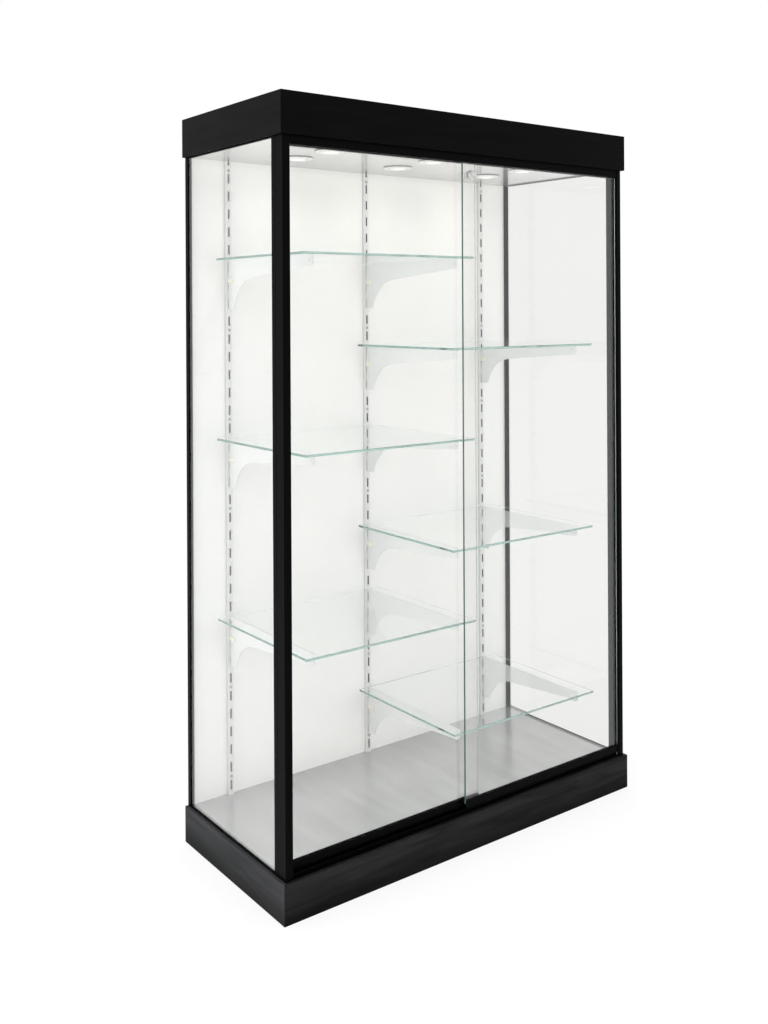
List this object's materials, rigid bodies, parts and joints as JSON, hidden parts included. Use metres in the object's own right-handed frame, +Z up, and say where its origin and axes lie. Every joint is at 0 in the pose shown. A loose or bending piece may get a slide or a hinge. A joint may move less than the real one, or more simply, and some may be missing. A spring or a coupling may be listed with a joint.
{
  "type": "lighted glass display cabinet",
  "caption": "Tall black-framed glass display cabinet with overlapping sliding glass doors, glass half shelves on slotted standards, downlights in the canopy and a push lock.",
  "frame": {"origin": "middle of the base's footprint, on the floor", "axes": "+Z up, +X to the right seen from the front, +Y towards the back panel"},
  "size_m": [1.22, 0.515, 1.978],
  "materials": {
    "black_laminate": "black wood-grain laminate on board, satin",
    "canopy_laminate": "smooth black laminate on board, satin",
    "bare_board": "raw particle board and softwood battens",
    "silver_laminate": "satin silver metallic laminate on board",
    "brushed_ceiling": "brushed silver laminate on board",
    "black_aluminium": "satin black anodised extrusion",
    "clear_glass": "clear float glass, polished edges",
    "white_panel": "gloss white laminate on hardboard",
    "zinc_steel": "satin zinc plated steel",
    "ivory_plastic": "moulded ivory nylon",
    "black_rubber": "black vinyl gasket",
    "grey_pile": "woven grey pile strip",
    "white_bezel": "white enamelled lamp ring",
    "lamp_lens": "frosted lens, lit",
    "driver_case": "white moulded case",
    "lead_jacket": "white cable jacket",
    "nylon_wheel": "black acetal wheel",
    "steel_pin": "ground steel",
    "chrome_lock": "satin chrome plated die casting",
    "screw_steel": "zinc plated steel"
  },
  "bodies": {
    "carcass": {"back_panel": "white_panel", "base_back_board": "black_laminate", "base_front_board": "black_laminate", "base_left_board": "black_laminate", "base_right_board": "black_laminate", "bracket_clips": "ivory_plastic", "canopy_back_board": "canopy_laminate", "canopy_front_board": "canopy_laminate", "canopy_left_board": "canopy_laminate", "canopy_lid": "canopy_laminate", "canopy_right_board": "canopy_laminate", "ceiling_panel": "brushed_ceiling", "centre_standard": "zinc_steel", "cleats": "bare_board", "door_seal_strips": "grey_pile", "floor_deck": "silver_laminate", "front_left_post": "black_aluminium", "front_right_post": "black_aluminium", "glazing_gaskets": "black_rubber", "lamp_driver": "driver_case", "lamp_housings": "white_bezel", "lamp_leads": "lead_jacket", "lamp_lenses": "lamp_lens", "left_bottom_brackets": "zinc_steel", "left_bottom_shelf": "clear_glass", "left_middle_brackets": "zinc_steel", "left_middle_shelf": "clear_glass", "left_side_glass": "clear_glass", "left_standard": "zinc_steel", "left_top_brackets": "zinc_steel", "left_top_shelf": "clear_glass", "lower_door_track": "black_aluminium", "power_grommet": "black_rubber", "rear_left_post": "black_aluminium", "rear_right_post": "black_aluminium", "right_bottom_brackets": "zinc_steel", "right_bottom_shelf": "clear_glass", "right_middle_brackets": "zinc_steel", "right_middle_shelf": "clear_glass", "right_side_glass": "clear_glass", "right_standard": "zinc_steel", "right_top_brackets": "zinc_steel", "right_top_shelf": "clear_glass", "screws": "screw_steel", "side_rails": "black_aluminium", "upper_door_track": "black_aluminium"},
    "left_door": {"left_door_glass": "clear_glass", "left_door_shoe": "black_aluminium", "left_door_axles": "steel_pin"},
    "right_door": {"right_door_glass": "clear_glass", "right_door_shoe": "black_aluminium", "right_door_axles": "steel_pin", "lock_housing": "chrome_lock", "lock_nut": "chrome_lock"},
    "left_door_left_roller": {"left_door_left_wheel": "nylon_wheel"},
    "left_door_right_roller": {"left_door_right_wheel": "nylon_wheel"},
    "right_door_left_roller": {"right_door_left_wheel": "nylon_wheel"},
    "right_door_right_roller": {"right_door_right_wheel": "nylon_wheel"},
    "lock_button": {"lock_plunger": "chrome_lock"},
    "lock_plug": {"lock_key_plug": "chrome_lock"}
  },
  "joints": [
    {"name": "left_door_slide", "type": "slide", "parent": "carcass", "child": "left_door", "axis": [1, 0, 0], "range_m": [0, 0.55]},
    {"name": "right_door_slide", "type": "slide", "parent": "carcass", "child": "right_door", "axis": [1, 0, 0], "range_m": [-0.55, 0]},
    {"name": "left_door_left_wheel_spin", "type": "hinge", "parent": "left_door", "child": "left_door_left_roller", "pos_m": [-0.504, -0.223, 0.1135], "axis": [0, 1, 0], "continuous": true},
    {"name": "left_door_right_wheel_spin", "type": "hinge", "parent": "left_door", "child": "left_door_right_roller", "pos_m": [-0.0515, -0.223, 0.1135], "axis": [0, 1, 0], "continuous": true},
    {"name": "right_door_left_wheel_spin", "type": "hinge", "parent": "right_door", "child": "right_door_left_roller", "pos_m": [0.0515, -0.239, 0.1135], "axis": [0, 1, 0], "continuous": true},
    {"name": "right_door_right_wheel_spin", "type": "hinge", "parent": "right_door", "child": "right_door_right_roller", "pos_m": [0.504, -0.239, 0.1135], "axis": [0, 1, 0], "continuous": true},
    {"name": "lock_push", "type": "slide", "parent": "right_door", "child": "lock_button", "axis": [0, 1, 0], "range_m": [0, 0.006]},
    {"name": "lock_key_turn", "type": "hinge", "parent": "lock_button", "child": "lock_plug", "pos_m": [0, -0.256, 1.82], "axis": [0, 1, 0], "range_deg": [0, 90]}
  ],
  "couplings": [
    {"joint": "left_door_left_wheel_spin", "follows": "left_door_slide", "rad_per_m": 227.27},
    {"joint": "left_door_right_wheel_spin", "follows": "left_door_slide", "rad_per_m": 227.27},
    {"joint": "right_door_left_wheel_spin", "follows": "right_door_slide", "rad_per_m": 227.27},
    {"joint": "right_door_right_wheel_spin", "follows": "right_door_slide", "rad_per_m": 227.27}
  ]
}
